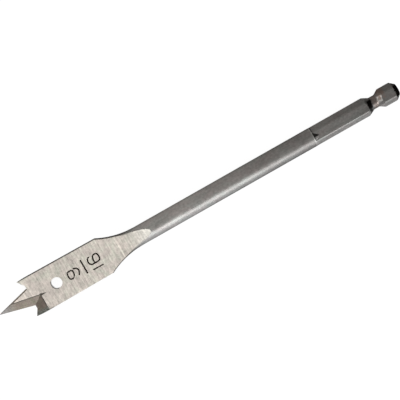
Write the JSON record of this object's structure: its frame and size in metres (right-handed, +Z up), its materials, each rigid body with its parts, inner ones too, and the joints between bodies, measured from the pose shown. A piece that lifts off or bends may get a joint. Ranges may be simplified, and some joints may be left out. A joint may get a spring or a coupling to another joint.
{
  "type": "spade drill bit",
  "caption": "Flat spade bit for boring wood: brad point, ground cutting edges with spurs, pierced blade, round shaft and a six-sided quick-change shank.",
  "frame": {"origin": "under the middle of the bit's length, at the level of the surface the bit lies on", "axes": "+X along the bit from the point to the end of the shank, +Z up from the surface it lies on"},
  "size_m": [0.1588, 0.014, 0.007],
  "materials": {
    "steel": "ground blade, dull drawn shaft and shank"
  },
  "bodies": {
    "root": {"spade_bit": "steel"}
  },
  "joints": []
}
